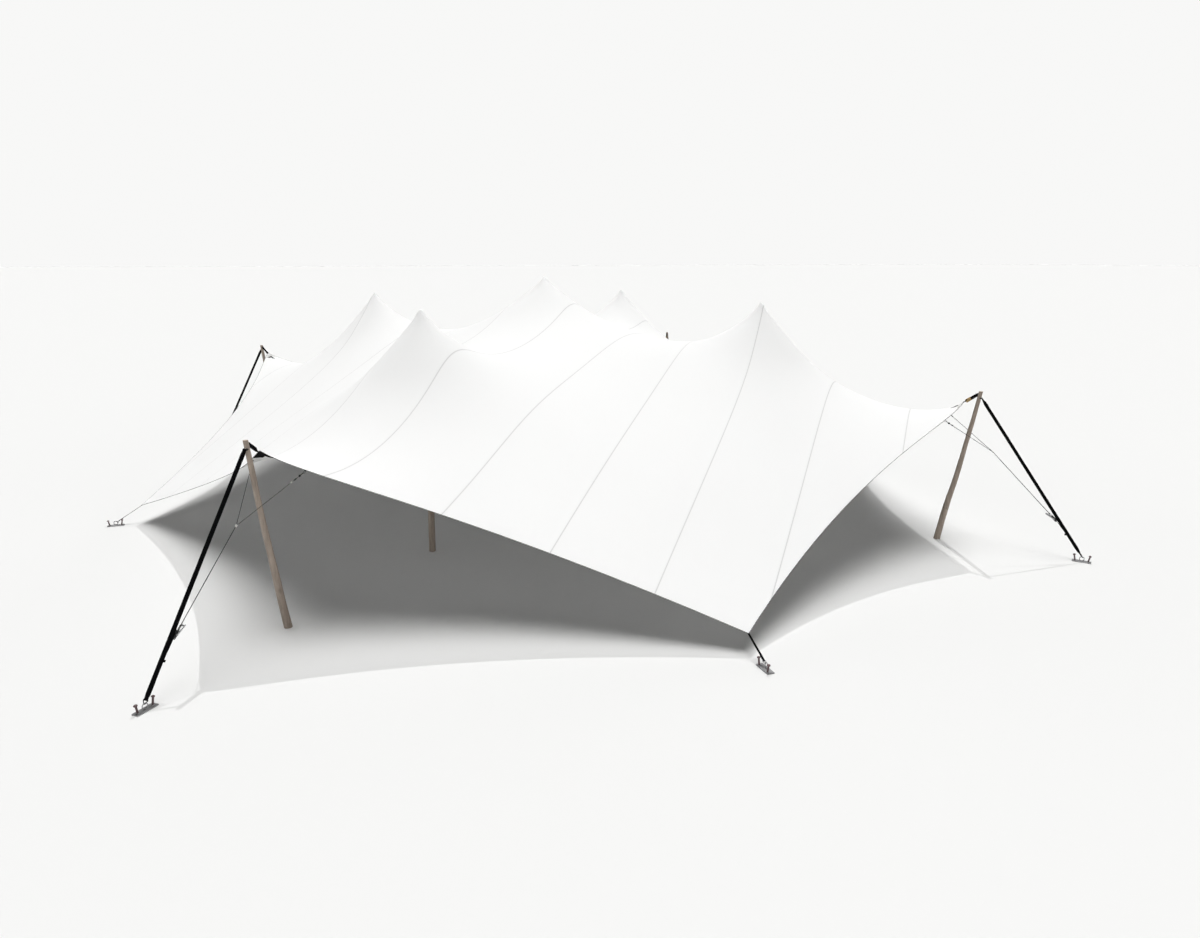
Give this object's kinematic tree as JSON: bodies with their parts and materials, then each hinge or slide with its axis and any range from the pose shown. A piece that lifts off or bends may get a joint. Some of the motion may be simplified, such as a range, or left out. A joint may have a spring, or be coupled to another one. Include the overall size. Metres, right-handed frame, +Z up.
{
  "type": "stretch tent",
  "caption": "Large stretch-fabric tent: a peaked white sheet on crooked timber poles, raised at leaning corner posts and held to steel ground anchors by webbing straps with ratchets.",
  "frame": {"origin": "on the ground under the centre pole, at the middle of the base", "axes": "+X runs from the front-left corner post towards the front-right one, +Y from the front low point to the back one, +Z up"},
  "size_m": [16.98, 18.612, 4.455],
  "materials": {
    "sheet": "matte",
    "wood": "bare, weathered",
    "webbing": "woven",
    "rope": "braided",
    "steel": "galvanised",
    "black_metal": "satin black"
  },
  "bodies": {
    "tent": {"canopy_strip_01": "sheet", "canopy_strip_02": "sheet", "canopy_strip_03": "sheet", "canopy_strip_04": "sheet", "canopy_strip_05": "sheet", "canopy_strip_06": "sheet", "canopy_strip_07": "sheet", "canopy_strip_08": "sheet", "canopy_strip_09": "sheet", "canopy_strip_10": "sheet", "canopy_strip_11": "sheet", "inner_pole_front_left": "wood", "inner_pole_front_right": "wood", "inner_pole_back_left": "wood", "inner_pole_back_right": "wood", "centre_pole": "wood", "corner_post_front_left": "wood", "corner_post_front_right": "wood", "corner_post_back_left": "wood", "corner_post_back_right": "wood", "anchor_front_left": "steel", "anchor_front_right": "steel", "anchor_back_left": "steel", "anchor_back_right": "steel", "anchor_front": "steel", "anchor_right": "steel", "anchor_back": "steel", "anchor_left": "steel", "guy_strap_front_left": "webbing", "guy_strap_front_right": "webbing", "guy_strap_back_left": "webbing", "guy_strap_back_right": "webbing", "hold_down_front": "webbing", "hold_down_right": "webbing", "hold_down_back": "webbing", "hold_down_left": "webbing", "corner_tie_front_left": "webbing", "corner_tie_front_right": "webbing", "corner_tie_back_left": "webbing", "corner_tie_back_right": "webbing", "bridle_front_left": "rope", "bridle_front_right": "rope", "bridle_back_left": "rope", "bridle_back_right": "rope", "ratchet_front_left": "black_metal", "ratchet_front_right": "black_metal", "ratchet_back_left": "black_metal", "ratchet_back_right": "black_metal"},
    "handle_front_left": {"ratchet_handle_front_left": "steel"},
    "handle_front_right": {"ratchet_handle_front_right": "steel"},
    "handle_back_left": {"ratchet_handle_back_left": "steel"},
    "handle_back_right": {"ratchet_handle_back_right": "steel"}
  },
  "joints": [
    {"name": "handle_hinge_front_left", "type": "hinge", "parent": "tent", "child": "handle_front_left", "pos_m": [-6.57466, -7.26876, 0.67389], "axis": [-0.7508, 0.6605, -0.0002], "range_deg": [0, 150]},
    {"name": "handle_hinge_front_right", "type": "hinge", "parent": "tent", "child": "handle_front_right", "pos_m": [6.49578, -7.29714, 0.65448], "axis": [-0.7897, -0.6133, 0.0157], "range_deg": [0, 150]},
    {"name": "handle_hinge_back_left", "type": "hinge", "parent": "tent", "child": "handle_back_left", "pos_m": [-6.57466, 7.26876, 0.67389], "axis": [0.7508, 0.6605, 0.0002], "range_deg": [0, 150]},
    {"name": "handle_hinge_back_right", "type": "hinge", "parent": "tent", "child": "handle_back_right", "pos_m": [6.49578, 7.29714, 0.65448], "axis": [0.7897, -0.6133, -0.0157], "range_deg": [0, 150]}
  ]
}
